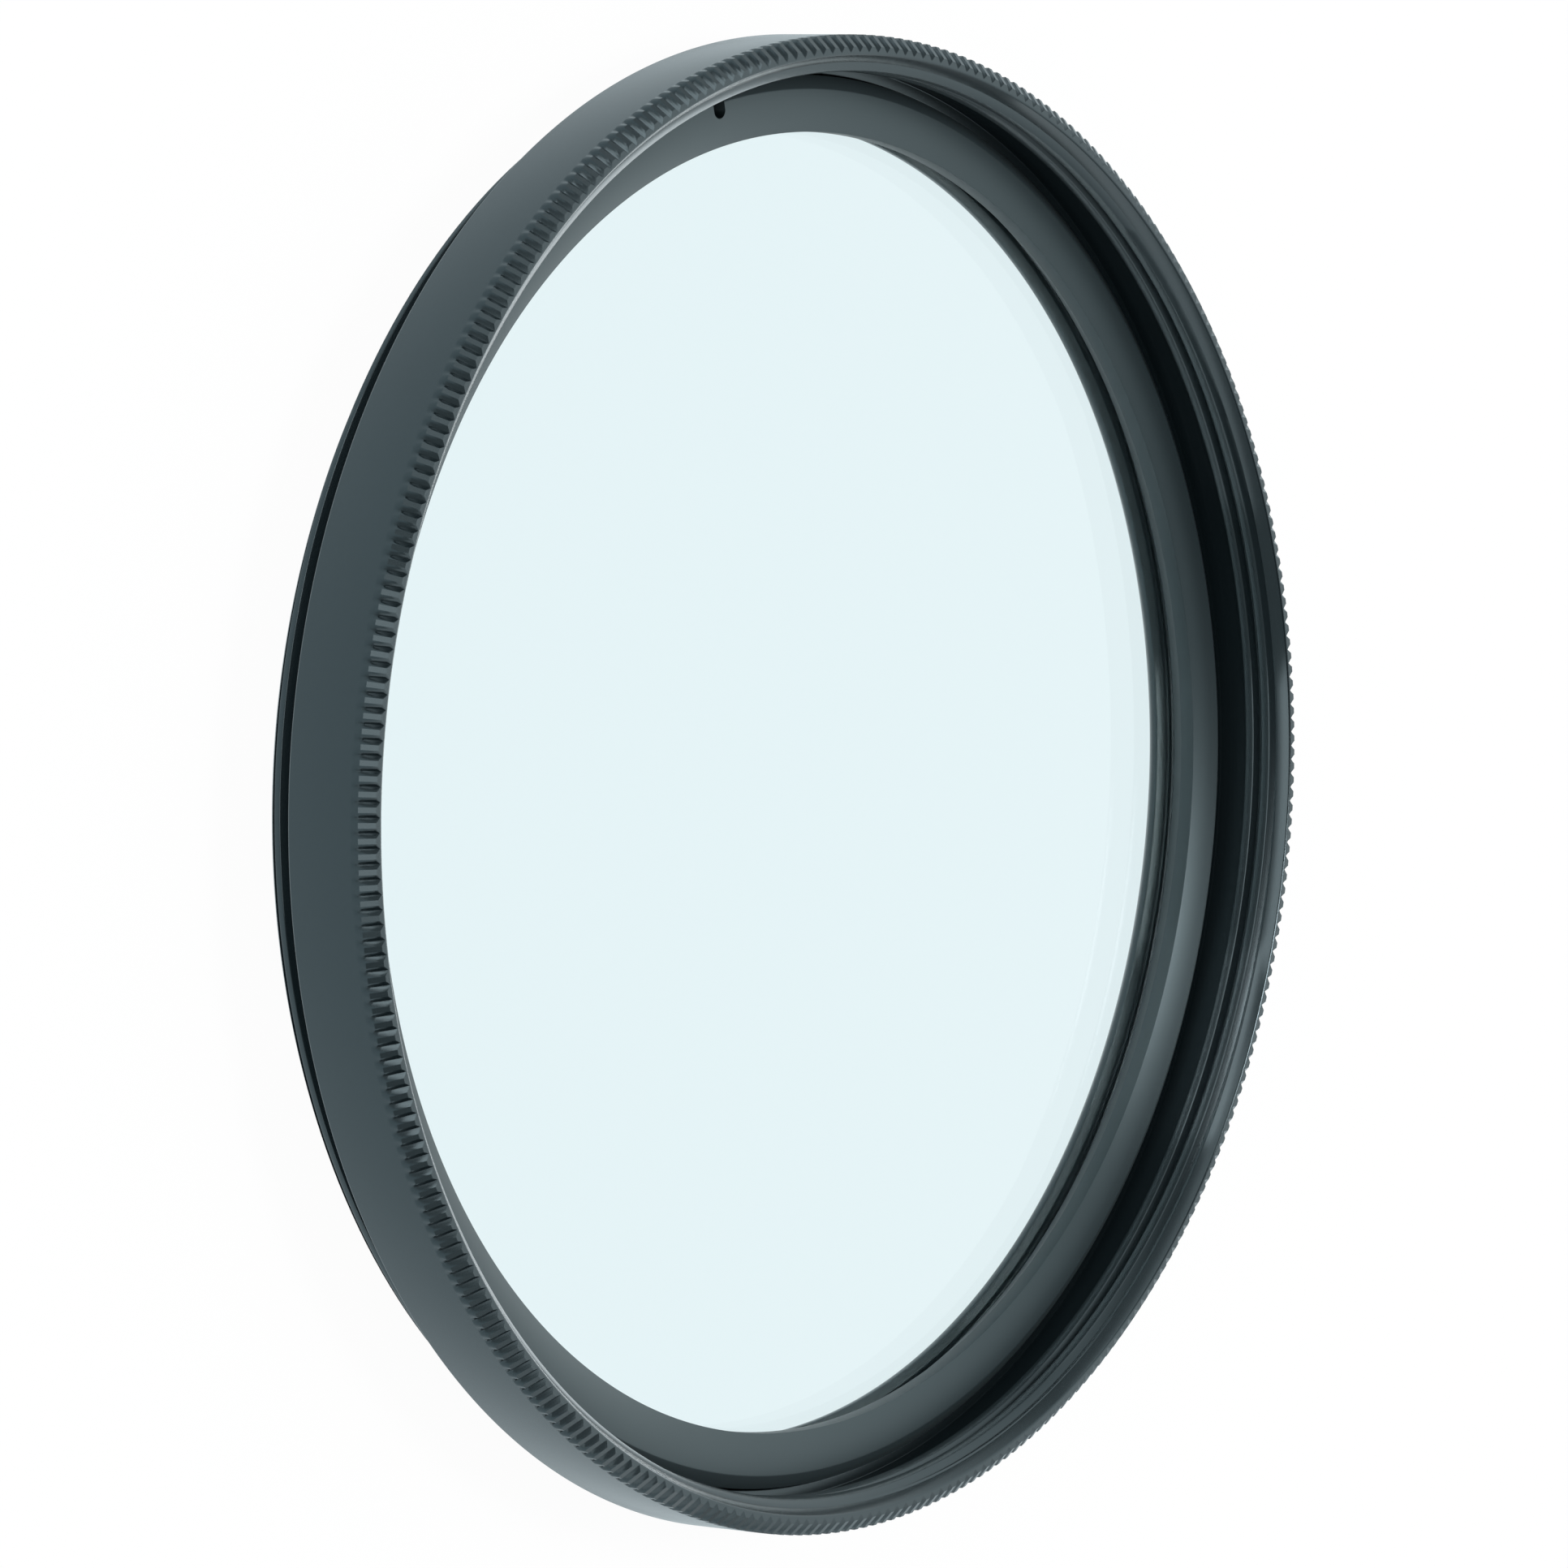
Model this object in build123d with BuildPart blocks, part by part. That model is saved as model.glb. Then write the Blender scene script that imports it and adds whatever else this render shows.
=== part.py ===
from build123d import *
import math
import os

# Screw-in lens filter: a turned and knurled frame ring, a flat glass disc and
# a slotted retaining ring. The axis is Z, the rear end stands on Z = 0 and the
# front, which takes the next filter or a cap, looks up. All sizes in mm.

# Frame ring, outside. The filter thread sets all the radii that follow.
thread_diameter = 52.0
thread_length = 2.12
thread_lead_chamfer = 0.65
shoulder_width = 1.0
shoulder_edge_break = 0.1
frame_height = 5.8
front_bevel = 0.44

# Knurl cut across the front bevel
knurl_spacing = 0.537
knurl_depth = 0.17
knurl_width_share = 0.6

# Frame ring, front mouth and internal thread
mouth_width = 0.27
front_thread_depth = 0.4
front_thread_length = 1.03
relief_depth = 0.05
relief_run_out = 0.23

# Glass and its seat
pocket_step = 1.15
glass_thickness = 1.2
glass_edge_chamfer = 0.1
glass_clearance = 0.05
seat_height = 0.9
seat_width = 0.58
seat_chamfer = 0.25
rear_bore_chamfer = 0.4

# Retaining ring
ring_width = 2.05
ring_thickness = 1.2
ring_clearance = 0.05
ring_wall_height = 0.58
ring_undercut = 0.4
ring_stand_proud = 0.6
ring_slot_width = 0.64
ring_slot_length = 1.05
ring_slot_count = 1
slot_angle = 104.8

# Radii, from the thread outwards and then inwards
thread_radius = thread_diameter / 2
rim_radius = thread_radius + shoulder_width
mouth_radius = thread_radius + mouth_width
relief_radius = thread_radius + relief_depth
minor_radius = thread_radius - front_thread_depth
ring_radius = minor_radius - ring_clearance
ring_bore_radius = ring_radius - ring_width
pocket_radius = minor_radius - pocket_step
glass_radius = pocket_radius - glass_clearance
rear_bore_radius = pocket_radius - seat_width

# Levels, from the rear end upwards and from the front downwards
glass_top = seat_height + glass_thickness
ring_top = glass_top + ring_thickness
floor_level = glass_top - ring_clearance
ledge_level = ring_top - ring_stand_proud
bevel_level = frame_height - front_bevel
thread_start = frame_height - (mouth_radius - minor_radius)
thread_end = thread_start - front_thread_length

# The knurl's flanks all run to the point where the bevel's cone closes
knurl_count = round(2 * math.pi * rim_radius / knurl_spacing)
knurl_pitch = 2 * math.pi * rim_radius / knurl_count
tip_rise = knurl_depth / knurl_width_share
bevel_apex = bevel_level + rim_radius
root_radius_at_bevel = rim_radius - knurl_depth
cutter_margin = knurl_pitch / 5
cutter_low = bevel_level - knurl_depth - cutter_margin
cutter_high = frame_height + cutter_margin
cutter_radius = rim_radius + 2 * tip_rise


def knurl_outline(level):
    """Corner points of the knurl's section at a level, root and tip by turns."""
    shrink = (bevel_apex - level) / rim_radius
    half_step = math.pi / knurl_count
    corners = []
    for step in range(2 * knurl_count):
        rise = tip_rise * (step % 2)
        radius = shrink * (root_radius_at_bevel + rise)
        corners.append((radius * math.cos(step * half_step), radius * math.sin(step * half_step)))
    return corners


# A disc from which the toothed cone is taken away: what is left cuts the knurl
with BuildPart() as knurl_cutter:
    with BuildSketch(Plane.XY.offset(cutter_low)):
        Circle(cutter_radius)
    extrude(amount=cutter_high - cutter_low)
    with BuildSketch(Plane.XY.offset(cutter_low)) as lower_section:
        with BuildLine():
            Polyline(*knurl_outline(cutter_low), close=True)
        make_face()
    with BuildSketch(Plane.XY.offset(cutter_high)) as upper_section:
        with BuildLine():
            Polyline(*knurl_outline(cutter_high), close=True)
        make_face()
    loft([lower_section.sketch, upper_section.sketch], ruled=True, mode=Mode.SUBTRACT)


# Frame ring: one turned piece, from the rear thread to the knurled front edge
with BuildPart() as frame_ring:
    with BuildSketch(Plane.XZ):
        with BuildLine():
            Polyline(
                (rear_bore_radius + rear_bore_chamfer, 0),
                (thread_radius - thread_lead_chamfer, 0),
                (thread_radius, thread_lead_chamfer),
                (thread_radius, thread_length),
                (rim_radius - shoulder_edge_break, thread_length),
                (rim_radius, thread_length + shoulder_edge_break),
                (rim_radius, bevel_level),
                (rim_radius - front_bevel, frame_height),
                (mouth_radius, frame_height),
                (minor_radius, thread_start),
                (minor_radius, thread_end),
                (relief_radius, thread_end - relief_run_out),
                (relief_radius, ledge_level),
                (minor_radius, ledge_level),
                (minor_radius, floor_level),
                (pocket_radius, floor_level),
                (pocket_radius, seat_height),
                (rear_bore_radius + seat_chamfer, seat_height),
                (rear_bore_radius, seat_height - seat_chamfer),
                (rear_bore_radius, rear_bore_chamfer),
                close=True,
            )
        make_face()
    revolve(axis=Axis.Z)
    add(knurl_cutter.part, mode=Mode.SUBTRACT)
frame_ring.part.label = "frame_ring"


# Glass: a flat disc with ground edges, lying on the seat of the frame
with BuildPart() as filter_glass:
    with BuildSketch(Plane.XY.offset(seat_height)):
        Circle(glass_radius)
    extrude(amount=glass_thickness)
    chamfer(filter_glass.edges().filter_by(GeomType.CIRCLE), glass_edge_chamfer)
filter_glass.part.label = "filter_glass"


# Retaining ring: screwed down on the glass, its inner wall undercut
with BuildPart() as retaining_ring:
    with BuildSketch(Plane.XZ):
        with BuildLine():
            Polyline(
                (ring_bore_radius + ring_undercut, glass_top),
                (ring_radius, glass_top),
                (ring_radius, ring_top),
                (ring_bore_radius, ring_top),
                (ring_bore_radius, ring_top - ring_wall_height),
                close=True,
            )
        make_face()
    revolve(axis=Axis.Z)

    # Round-ended slot for a pin spanner, open at the ring's edge
    with BuildSketch(Plane.XY.offset(ring_top)):
        with PolarLocations(ring_radius, ring_slot_count, start_angle=slot_angle):
            SlotOverall(2 * ring_slot_length, ring_slot_width)
    extrude(amount=-ring_thickness, mode=Mode.SUBTRACT)
retaining_ring.part.label = "retaining_ring"


os.makedirs("parts", exist_ok=True)
for piece in (frame_ring, filter_glass, retaining_ring):
    export_step(piece.part, f"parts/{piece.part.label}.step")
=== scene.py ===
import math

import bmesh
import bpy
from mathutils import Matrix


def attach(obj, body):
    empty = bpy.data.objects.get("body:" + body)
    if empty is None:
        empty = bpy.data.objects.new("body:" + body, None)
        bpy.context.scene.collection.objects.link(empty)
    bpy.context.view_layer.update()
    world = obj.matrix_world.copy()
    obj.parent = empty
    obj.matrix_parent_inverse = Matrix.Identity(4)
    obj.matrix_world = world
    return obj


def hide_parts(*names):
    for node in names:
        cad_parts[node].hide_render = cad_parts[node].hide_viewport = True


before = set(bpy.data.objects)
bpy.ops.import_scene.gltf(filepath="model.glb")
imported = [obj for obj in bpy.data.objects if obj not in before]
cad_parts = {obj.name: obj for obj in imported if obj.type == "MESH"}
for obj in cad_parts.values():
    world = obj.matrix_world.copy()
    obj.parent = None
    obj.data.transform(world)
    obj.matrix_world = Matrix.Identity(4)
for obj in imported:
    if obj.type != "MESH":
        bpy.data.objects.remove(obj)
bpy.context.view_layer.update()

# Screw-in lens filter, lying on its rear end: the frame ring with its knurl and
# both threads, the glass disc and the slotted retaining ring. Sizes are in
# millimetres here and become metres by MM.

MM = 0.001
FULL_TURN = 2 * math.pi
THREAD_PITCH = 0.75
NOTCHES = 316
COLUMNS_PER_NOTCH = 5
RING_STEPS = 360
SLOT_ANGLE = math.radians(104.8)
THREAD_STEPS = 240


# Hand tools


def deselect_all():
    if bpy.context.mode != "OBJECT":
        bpy.ops.object.mode_set(mode="OBJECT")
    bpy.ops.object.select_all(action="DESELECT")


def pick(piece, wanted):
    """Selects, in edit mode, the points that wanted(radius, height, angle) says yes to."""
    mesh = bmesh.from_edit_mesh(piece.data)
    for point in mesh.verts:
        x, y, z = (value / MM for value in point.co)
        point.select = bool(wanted(math.hypot(x, y), z, math.atan2(y, x)))
    mesh.select_flush(True)
    bmesh.update_edit_mesh(piece.data)


def trace_section(name, corners):
    """Draws a closed section on the XZ plane, point after point, and rounds its corners.

    A corner is (radius, height) or (radius, height, rounding), all in mm.
    """
    deselect_all()
    bpy.ops.mesh.primitive_plane_add(size=MM)
    piece = bpy.context.object
    piece.name = piece.data.name = name
    bpy.ops.object.mode_set(mode="EDIT")
    bpy.ops.mesh.select_all(action="SELECT")
    bpy.ops.mesh.merge(type="CENTER")
    bpy.ops.transform.translate(value=(corners[0][0] * MM, 0, corners[0][1] * MM))
    for corner, following in zip(corners, corners[1:] + corners[:1]):
        step = ((following[0] - corner[0]) * MM, 0, (following[1] - corner[1]) * MM)
        bpy.ops.mesh.extrude_vertices_move(TRANSFORM_OT_translate={"value": step})
    bpy.ops.mesh.select_all(action="SELECT")
    bpy.ops.mesh.remove_doubles(threshold=0.001 * MM)
    for corner in corners:
        if len(corner) == 3:
            near = lambda r, z, a: math.hypot(r - corner[0], z - corner[1]) < 0.004
            pick(piece, near)
            bpy.ops.mesh.bevel(offset=corner[2] * MM, segments=2, affect="VERTICES")
    return piece


def sweep(piece, steps, rise=0.0, turns=1):
    """Sweeps the section round the axis, with a rise per turn in mm for a thread."""
    deselect_all()
    piece.select_set(True)
    bpy.context.view_layer.objects.active = piece
    screw = piece.modifiers.new("sweep", "SCREW")
    screw.axis = "Z"
    screw.angle = FULL_TURN
    screw.screw_offset = rise * MM
    screw.iterations = turns
    screw.steps = screw.render_steps = steps
    bpy.ops.object.modifier_apply(modifier=screw.name)
    bpy.ops.object.mode_set(mode="EDIT")
    bpy.ops.mesh.select_all(action="SELECT")
    bpy.ops.mesh.remove_doubles(threshold=0.001 * MM)


def turn_on_lathe(piece, steps):
    """Turns the section once round the axis, closed at the seam."""
    sweep(piece, steps)
    bpy.ops.mesh.normals_make_consistent(inside=False)
    bpy.ops.mesh.select_all(action="DESELECT")


def apply_boolean(piece, other, operation):
    """Cuts or keeps what the other shape says, then throws that shape away."""
    deselect_all()
    piece.select_set(True)
    bpy.context.view_layer.objects.active = piece
    cut = piece.modifiers.new("cut", "BOOLEAN")
    cut.object = other
    cut.operation = operation
    cut.solver = "EXACT"
    bpy.ops.object.modifier_apply(modifier=cut.name)
    bpy.data.objects.remove(other, do_unlink=True)


def smooth(piece, degrees):
    deselect_all()
    piece.select_set(True)
    bpy.context.view_layer.objects.active = piece
    bpy.ops.object.shade_smooth_by_angle(angle=math.radians(degrees))


def wind_thread(name, ridge, first_level, turns, envelope):
    """Winds a ridge section up a right-hand helix and trims it to the turned envelope."""
    piece = trace_section(name, ridge)
    bpy.ops.mesh.select_all(action="SELECT")
    bpy.ops.transform.translate(value=(0, 0, first_level * MM))
    sweep(piece, THREAD_STEPS, rise=THREAD_PITCH, turns=turns)
    bpy.ops.mesh.select_all(action="DESELECT")
    bpy.ops.mesh.select_mode(type="EDGE")
    bpy.ops.mesh.select_non_manifold()
    bpy.ops.mesh.edge_face_add()
    bpy.ops.mesh.select_mode(type="VERT")
    bpy.ops.mesh.select_all(action="SELECT")
    bpy.ops.mesh.normals_make_consistent(inside=False)
    bpy.ops.object.mode_set(mode="OBJECT")
    limit = trace_section(name + "_limit", envelope)
    turn_on_lathe(limit, THREAD_STEPS)
    apply_boolean(piece, limit, "INTERSECT")
    return piece


# Frame ring


def make_frame_ring():
    rim, bevel_foot, front = 27.0, 5.36, 5.8
    bevel_head = 26.56
    depth_at_foot, depth_at_head, run_out = 0.2, 0.2, 0.32
    male_root, female_root = 25.54, 26.0

    body = trace_section(
        "frame_ring",
        [
            (24.27, 0.0, 0.1),
            (25.35, 0.0, 0.05),
            (male_root, 0.19),
            (male_root, 2.12, 0.06),
            (26.9, 2.12, 0.04),
            (rim, 2.22, 0.04),
            (rim, bevel_foot - run_out - 0.03),
            (rim, bevel_foot - run_out),
            (rim, bevel_foot),
            (bevel_head, front),
            (bevel_head - depth_at_head, front),
            (26.27, front, 0.05),
            (female_root, 5.38, 0.03),
            (female_root, 4.02, 0.03),
            (26.05, 3.97),
            (26.05, 2.7, 0.05),
            (25.6, 2.7, 0.06),
            (25.6, 2.05),
            (24.45, 2.05, 0.06),
            (24.45, 0.9),
            (24.12, 0.9, 0.03),
            (23.87, 0.65, 0.04),
            (23.87, 0.4, 0.14),
        ],
    )
    turn_on_lathe(body, NOTCHES * COLUMNS_PER_NOTCH)

    # Knurl: of the five columns of points that a notch has, one is its root, two are
    # its round sides and two its edges. Each moves along the rim to its place in the
    # notch and then inwards.
    notch_angle = FULL_TURN / NOTCHES
    column_angle = notch_angle / COLUMNS_PER_NOTCH
    for radius, height, depth in ((rim, bevel_foot, depth_at_foot), (bevel_head, front, depth_at_head)):
        for number, place, share in ((0, 0.0, 1.0), (1, 0.16, 0.55), (2, 0.32, 0.0), (3, -0.32, 0.0), (4, -0.16, 0.55)):

            def on_column(r, z, a):
                on_row = abs(r - radius) < 0.005 and abs(z - height) < 0.005
                return on_row and round(a / column_angle) % COLUMNS_PER_NOTCH == number

            pick(body, on_column)
            middle = number if number < 3 else number - COLUMNS_PER_NOTCH
            shift = place * notch_angle - middle * column_angle
            bpy.ops.transform.rotate(value=-shift, orient_axis="Z", center_override=(0, 0, 0))
            shrink = (radius - share * depth) / radius
            bpy.ops.transform.resize(value=(shrink, shrink, 1), center_override=(0, 0, 0))
    bpy.ops.object.mode_set(mode="OBJECT")

    # Rear male thread: the lead chamfer cuts into its last turn
    male = wind_thread(
        "male_thread",
        [(25.5, -0.34), (26.0, -0.12, 0.03), (26.0, 0.12, 0.03), (25.5, 0.34)],
        first_level=0.05 - 1.5 * THREAD_PITCH,
        turns=4,
        envelope=[(25.45, 0.02), (25.37, 0.02), (26.0, 0.65), (26.0, 1.93), (25.45, 1.93)],
    )

    # Front female thread: flat crests that look inwards and fade in mouth and relief
    female = wind_thread(
        "female_thread",
        [(26.03, -0.31), (25.66, -0.15, 0.03), (25.75, 0.15, 0.03), (26.03, 0.3)],
        first_level=5.05 - 2 * THREAD_PITCH,
        turns=3,
        envelope=[(25.5, 4.07), (26.04, 3.9), (26.04, 5.4), (26.0, 5.4), (25.5, 5.17)],
    )

    deselect_all()
    for part in (male, female, body):
        part.select_set(True)
    bpy.context.view_layer.objects.active = body
    bpy.ops.object.join()
    smooth(body, 38)
    return body


# Retaining ring


def make_retaining_ring():
    ring = trace_section(
        "retaining_ring",
        [
            (23.9, 2.1),
            (25.55, 2.1),
            (25.55, 2.95, 0.03),
            (25.05, 3.3, 0.03),
            (23.5, 3.3, 0.03),
            (23.5, 2.72, 0.02),
        ],
    )
    turn_on_lathe(ring, RING_STEPS)
    bpy.ops.object.mode_set(mode="OBJECT")

    # Spanner slot: a round bar pulled outwards past the edge cuts it
    slot_width, slot_end, edge, beyond = 0.64, 24.5, 25.55, 0.6
    middle = slot_end + slot_width / 2
    deselect_all()
    bpy.ops.mesh.primitive_cylinder_add(
        vertices=32, radius=slot_width / 2 * MM, depth=2 * MM, location=(middle * MM, 0, 2.7 * MM)
    )
    bar = bpy.context.object
    bpy.ops.object.transform_apply(location=True, rotation=True, scale=True)
    bpy.ops.object.mode_set(mode="EDIT")
    pick(bar, lambda r, z, a: r * math.cos(a) > middle - 0.001)
    bpy.ops.transform.translate(value=((edge + beyond - middle) * MM, 0, 0))
    bpy.ops.mesh.select_all(action="SELECT")
    bpy.ops.transform.rotate(value=-SLOT_ANGLE, orient_axis="Z", center_override=(0, 0, 0))
    bpy.ops.object.mode_set(mode="OBJECT")
    apply_boolean(ring, bar, "DIFFERENCE")
    smooth(ring, 32)
    return ring


# Glass disc


def make_filter_glass():
    deselect_all()
    bpy.ops.mesh.primitive_cylinder_add(
        vertices=RING_STEPS, radius=24.4 * MM, depth=1.2 * MM, location=(0, 0, 1.5 * MM)
    )
    glass = bpy.context.object
    glass.name = glass.data.name = "filter_glass"
    bpy.ops.object.transform_apply(location=True, rotation=True, scale=True)
    bpy.ops.object.mode_set(mode="EDIT")
    pick(glass, lambda r, z, a: z > 0)
    mesh = bmesh.from_edit_mesh(glass.data)
    for edge in mesh.edges:
        edge.select = abs(edge.verts[0].co.z - edge.verts[1].co.z) < 0.1 * MM
    bmesh.update_edit_mesh(glass.data)
    bpy.ops.mesh.bevel(offset=0.1 * MM, segments=1, affect="EDGES")
    bpy.ops.object.mode_set(mode="OBJECT")
    smooth(glass, 30)
    return glass


# Materials


def linear(hex_colour):
    """sRGB hex to the linear colour that a shader's socket takes."""
    parts = [int(hex_colour[i : i + 2], 16) / 255 for i in (1, 3, 5)]
    return [p / 12.92 if p <= 0.04045 else ((p + 0.055) / 1.055) ** 2.4 for p in parts] + [1]


def put(tree, kind, links=None, **settings):
    """Adds a node with its settings; links maps an input to a socket or a plain value."""
    node = tree.nodes.new(kind)
    for name, value in settings.items():
        setattr(node, name, value)
    for name, value in (links or {}).items():
        if isinstance(value, bpy.types.NodeSocket):
            tree.links.new(value, node.inputs[name])
        else:
            node.inputs[name].default_value = value
    return node


def new_material(name):
    material = bpy.data.materials.new(name)
    material.use_nodes = True
    material.node_tree.nodes.clear()
    return material, material.node_tree


def black_anodised_aluminium(name, colour, pale, roughness, gloss_tint):
    """Turned aluminium under a black dyed oxide skin.

    The skin looks like satin black stone with a faint blue-green cast: dark where it
    faces the eye and much lighter at a slant, over the fine lines of the lathe.
    """
    material, tree = new_material(name)
    place = put(tree, "ShaderNodeTexCoord").outputs["Object"]
    split = put(tree, "ShaderNodeSeparateXYZ", {0: place})
    across = put(tree, "ShaderNodeCombineXYZ", {0: split.outputs[0], 1: split.outputs[1]})
    radius = put(tree, "ShaderNodeVectorMath", {0: across.outputs[0]}, operation="LENGTH")
    run = put(tree, "ShaderNodeMath", {0: radius.outputs["Value"], 1: split.outputs[2]})

    # Feed lines of the lathe, 0.07 mm apart
    lines = put(
        tree,
        "ShaderNodeTexNoise",
        {"W": run.outputs[0], "Scale": 1 / (0.07 * MM), "Detail": 2.0, "Roughness": 0.6},
        noise_dimensions="1D",
    )
    # Cloudy dye, patches of about 4 mm
    cloud = put(
        tree,
        "ShaderNodeTexNoise",
        {"Vector": place, "Scale": 1 / (4 * MM), "Detail": 3.0},
    )
    tone = put(
        tree,
        "ShaderNodeMix",
        {0: cloud.outputs[0], 6: linear(colour), 7: linear(pale)},
        data_type="RGBA",
    )
    rough = put(
        tree,
        "ShaderNodeMapRange",
        {0: lines.outputs[0], 3: roughness - 0.02, 4: roughness + 0.03},
    )
    # The lines run round the axis, so gloss spreads along the radius
    around = put(tree, "ShaderNodeTangent", direction_type="RADIAL", axis="Z")
    shader = put(
        tree,
        "ShaderNodeBsdfPrincipled",
        {
            "Base Color": tone.outputs[2],
            "Roughness": rough.outputs[0],
            "Tangent": around.outputs[0],
            "Anisotropic": 0.9,
            "Anisotropic Rotation": 0.25,
            "Specular Tint": linear(gloss_tint),
            "IOR": 1.7,
        },
    )
    put(tree, "ShaderNodeOutputMaterial", {0: shader.outputs[0]})
    return material


def polished_optical_glass():
    """Flat ground and polished glass: clear, with a breath of blue, dark only at its edge."""
    material, tree = new_material("polished_optical_glass")
    body = put(
        tree,
        "ShaderNodeBsdfPrincipled",
        {
            "Base Color": linear("#FCFDFB"),
            "Roughness": 0.0,
            "IOR": 1.52,
            "Specular Tint": linear("#303034"),
            "Transmission Weight": 1.0,
        },
    )
    through = put(tree, "ShaderNodeBsdfTransparent", {0: linear("#FCFDFB")})
    path = put(tree, "ShaderNodeLightPath")
    both = put(
        tree,
        "ShaderNodeMixShader",
        {0: path.outputs["Is Shadow Ray"], 1: body.outputs[0], 2: through.outputs[0]},
    )
    put(tree, "ShaderNodeOutputMaterial", {0: both.outputs[0]})
    return material


def white_floor():
    """Matt white paper, which shows as white to the camera, in gloss and through glass."""
    material, tree = new_material("matt_white_paper")
    paper = put(tree, "ShaderNodeBsdfDiffuse", {"Color": linear("#F7F7F7")})
    path = put(tree, "ShaderNodeLightPath")
    shade = put(
        tree,
        "ShaderNodeMix",
        {0: path.outputs["Is Camera Ray"], 6: linear("#E6F4F9"), 7: (1, 1, 1, 1)},
        data_type="RGBA",
    )
    glow = put(tree, "ShaderNodeEmission", {"Color": shade.outputs[2], "Strength": 1.0})
    share = put(tree, "ShaderNodeMath", {0: path.outputs["Is Camera Ray"], 1: -0.04, 2: 1.0}, operation="MULTIPLY_ADD")
    seen = put(tree, "ShaderNodeMixShader", {0: share.outputs[0], 1: paper.outputs[0], 2: glow.outputs[0]})
    either = put(
        tree,
        "ShaderNodeMath",
        {0: path.outputs["Is Camera Ray"], 1: path.outputs["Is Glossy Ray"]},
        operation="MAXIMUM",
    )
    any_of = put(
        tree,
        "ShaderNodeMath",
        {0: either.outputs[0], 1: path.outputs["Is Transmission Ray"]},
        operation="MAXIMUM",
    )
    surface = put(
        tree,
        "ShaderNodeMixShader",
        {0: any_of.outputs[0], 1: paper.outputs[0], 2: seen.outputs[0]},
    )
    put(tree, "ShaderNodeOutputMaterial", {0: surface.outputs[0]})
    return material


# The object

pieces = {
    "frame_ring": make_frame_ring(),
    "retaining_ring": make_retaining_ring(),
    "filter_glass": make_filter_glass(),
}
finishes = {
    "frame_ring": black_anodised_aluminium("black_anodised_turned_aluminium", "#0E1518", "#141C1F", 0.18, "#DBF3FB"),
    "retaining_ring": black_anodised_aluminium("black_anodised_ring_aluminium", "#20282B", "#262F32", 0.36, "#D8F1F8"),
    "filter_glass": polished_optical_glass(),
}
for node, piece in pieces.items():
    piece.data.materials.clear()
    piece.data.materials.append(finishes[node])
    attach(piece, "root")
    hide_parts(node)


# Floor, light and camera

deselect_all()
bpy.ops.mesh.primitive_plane_add(size=6.0, location=(0, 0, 0))
floor = bpy.context.object
floor.name = "floor"
floor.data.materials.append(white_floor())

world = bpy.data.worlds.new("studio")
bpy.context.scene.world = world
world.use_nodes = True
sky = world.node_tree
backdrop = sky.nodes["Background"]
backdrop.inputs["Color"].default_value = linear("#F4FBFC")
# The room is light behind the filter, towards the upper right, and dim overhead
direction = put(sky, "ShaderNodeTexCoord").outputs["Generated"]
lean = put(sky, "ShaderNodeVectorMath", {0: direction, 1: (0.93, 0.2, 0.31)}, operation="DOT_PRODUCT")
wall = put(
    sky,
    "ShaderNodeMapRange",
    {0: lean.outputs["Value"], 1: 0.4, 2: 0.93, 3: 0.42, 4: 1.3},
    interpolation_type="SMOOTHSTEP",
)
height = put(sky, "ShaderNodeSeparateXYZ", {0: direction})
roof = put(
    sky,
    "ShaderNodeMapRange",
    {0: height.outputs[2], 1: 0.76, 2: 0.92, 3: 1.0, 4: 0.1},
    interpolation_type="SMOOTHSTEP",
)
level = put(sky, "ShaderNodeMath", {0: wall.outputs[0], 1: roof.outputs[0]}, operation="MULTIPLY")
sky.links.new(level.outputs[0], backdrop.inputs["Strength"])


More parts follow.
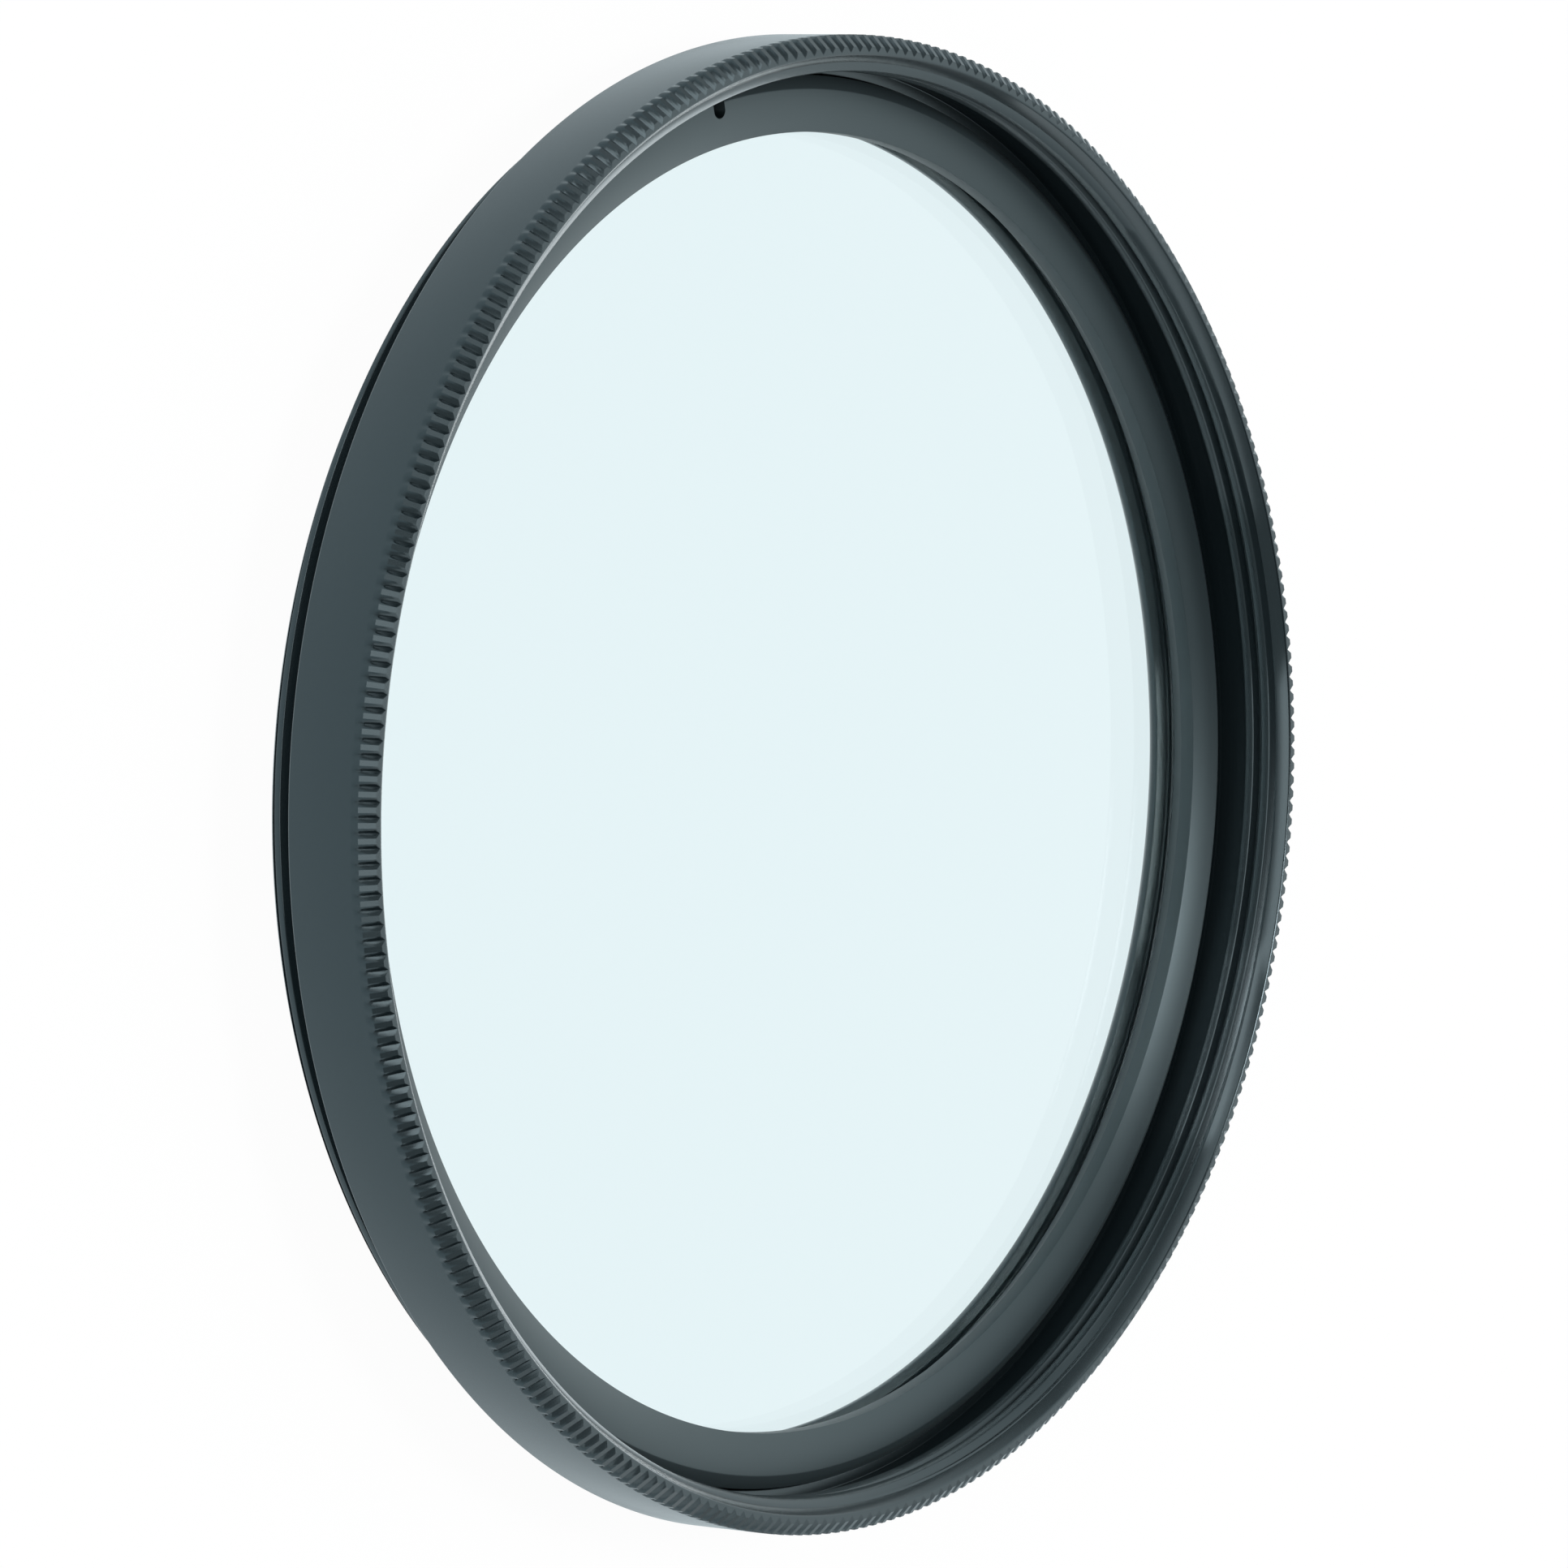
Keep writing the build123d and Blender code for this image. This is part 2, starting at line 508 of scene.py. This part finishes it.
def softbox(name, place, width, length, power):
    """A softbox that looks at the filter."""
    lamp = bpy.data.lights.new(name, "AREA")
    lamp.shape = "RECTANGLE"
    lamp.size = width
    lamp.size_y = length
    lamp.energy = power
    holder = bpy.data.objects.new(name, lamp)
    bpy.context.collection.objects.link(holder)
    holder.location = place
    look = -holder.location
    holder.rotation_mode = "QUATERNION"
    holder.rotation_quaternion = look.to_track_quat("-Z", "Y")
    return holder


softbox("top_softbox", (0.16, 0.085, 0.68), 0.19, 0.15, 1.8)
softbox("right_softbox", (0.6, -0.02, 0.12), 0.42, 0.22, 0.85)
softbox("front_softbox", (-0.5, 0.03, 0.45), 0.46, 0.3, 1.05)
softbox("near_softbox", (-0.06, -0.6, 0.17), 1.0, 0.25, 0.8)
softbox("low_left_softbox", (-0.47, 0.38, 0.24), 0.34, 0.18, 0.6)
softbox("left_softbox", (-0.14, 0.52, 0.45), 0.7, 0.3, 0.6)

PHOTO_SIDE = 1932
FOCAL_PX = 12848.4
CENTRE_PX = (1048.281, 968.96)
CENTRE_LEVEL = 5.351
DISTANCE = 375.3
TURNED, TIPPED = math.radians(51.354), math.radians(2.65)

camera = bpy.data.objects.new("camera", bpy.data.cameras.new("camera"))
bpy.context.collection.objects.link(camera)
camera.data.sensor_width = 36.0
camera.data.lens = 36.0 * FOCAL_PX / PHOTO_SIDE
camera.data.clip_start = 0.01
camera.data.clip_end = 20.0
right = (math.cos(TURNED), math.sin(TURNED) * math.sin(TIPPED), math.sin(TURNED) * math.cos(TIPPED))
up = (0.0, math.cos(TIPPED), -math.sin(TIPPED))
away = (math.sin(TURNED), -math.cos(TURNED) * math.sin(TIPPED), -math.cos(TURNED) * math.cos(TIPPED))
aside = (CENTRE_PX[0] - PHOTO_SIDE / 2) / FOCAL_PX * DISTANCE
below = (CENTRE_PX[1] - PHOTO_SIDE / 2) / FOCAL_PX * DISTANCE
place = [
    (level - DISTANCE * a - aside * r + below * u) * MM
    for level, a, r, u in zip((0, 0, CENTRE_LEVEL), away, right, up)
]
camera.matrix_world = Matrix(
    [(right[i], up[i], -away[i], place[i]) for i in range(3)] + [(0, 0, 0, 1)]
)
bpy.context.scene.camera = camera
bpy.context.scene.view_settings.view_transform = "Standard"

bpy.context.view_layer.update()
